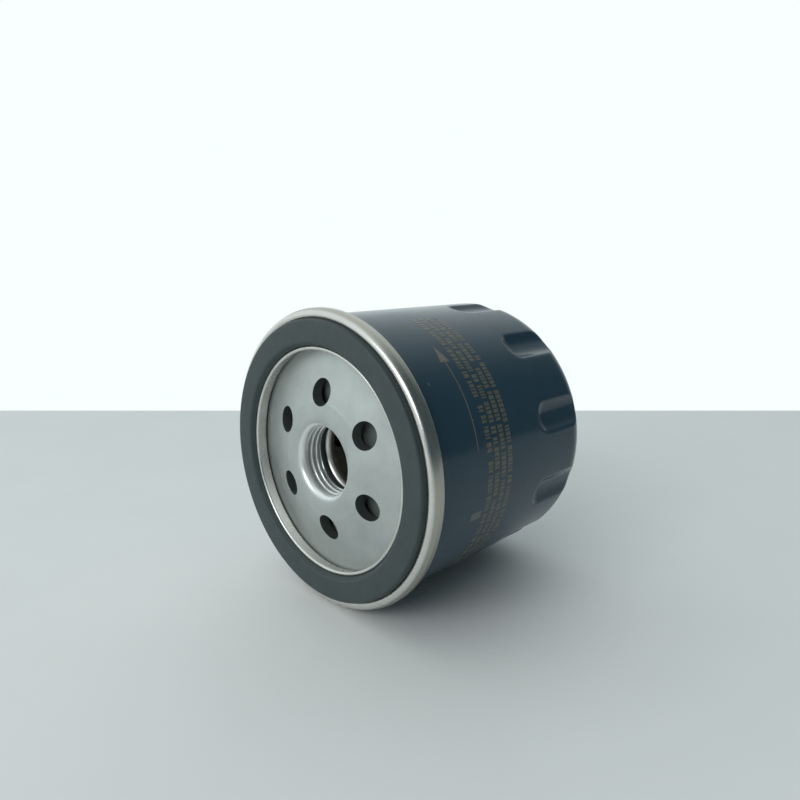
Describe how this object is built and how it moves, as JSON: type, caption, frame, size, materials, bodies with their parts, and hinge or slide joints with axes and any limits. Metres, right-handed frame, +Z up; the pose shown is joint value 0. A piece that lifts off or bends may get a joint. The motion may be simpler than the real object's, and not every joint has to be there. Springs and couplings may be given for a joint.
{
  "type": "spin-on oil filter",
  "caption": "Canister oil filter that screws on a threaded stud and seals on a face gasket, with pleated paper element, anti-drain valve and spring-loaded bypass valve inside.",
  "frame": {"origin": "centre of the gasket's sealing face, on the filter's axis", "axes": "+Y along the axis from the sealing face into the can, +Z up as the filter lies on its side, +X to the right when looking along +Y"},
  "size_m": [0.0758, 0.0688, 0.0758],
  "materials": {
    "can_paint": "gloss dark navy paint",
    "lid_tinplate": "bright tinplate",
    "plate_steel": "satin zinc-plated steel",
    "gasket_rubber": "matte nitrile rubber",
    "valve_rubber": "matte rubber",
    "seam_compound": "matte sealing compound",
    "element_tinplate": "tinplate",
    "filter_paper": "resin-treated pleated paper",
    "plastisol": "cured plastisol",
    "spring_steel": "oiled spring steel"
  },
  "bodies": {
    "housing": {"can_shell": "can_paint", "seaming_lid": "lid_tinplate", "seam_compound": "seam_compound", "base_plate": "plate_steel", "sealing_gasket": "gasket_rubber", "support_spring": "spring_steel"},
    "filter_element": {"front_end_cap": "element_tinplate", "rear_end_cap": "element_tinplate", "front_potting": "plastisol", "rear_potting": "plastisol", "centre_tube": "element_tinplate", "pleated_media": "filter_paper", "media_seam_clip": "element_tinplate", "hub_seal_ring": "gasket_rubber", "bypass_valve_seat": "element_tinplate", "bypass_valve_cage": "element_tinplate", "bypass_valve_spring": "spring_steel"},
    "bypass_valve": {"bypass_valve_disc": "plate_steel", "bypass_valve_seal": "valve_rubber"},
    "anti_drain_valve": {"anti_drain_valve": "valve_rubber"}
  },
  "joints": [
    {"name": "element_float", "type": "slide", "parent": "housing", "child": "filter_element", "axis": [0, 1, 0], "range_m": [0, 0.0015], "stiffness_N_per_m": 8000, "springref_m": -0.005, "deforming": ["support_spring"]},
    {"name": "bypass_valve_lift", "type": "slide", "parent": "filter_element", "child": "bypass_valve", "axis": [0, -1, 0], "range_m": [0, 0.003], "stiffness_N_per_m": 1000, "springref_m": -0.01, "deforming": ["bypass_valve_spring"]},
    {"name": "anti_drain_valve_lift", "type": "slide", "parent": "housing", "child": "anti_drain_valve", "axis": [0, 1, 0], "range_m": [0, 0.0015], "stiffness_N_per_m": 300, "springref_m": -0.002}
  ]
}
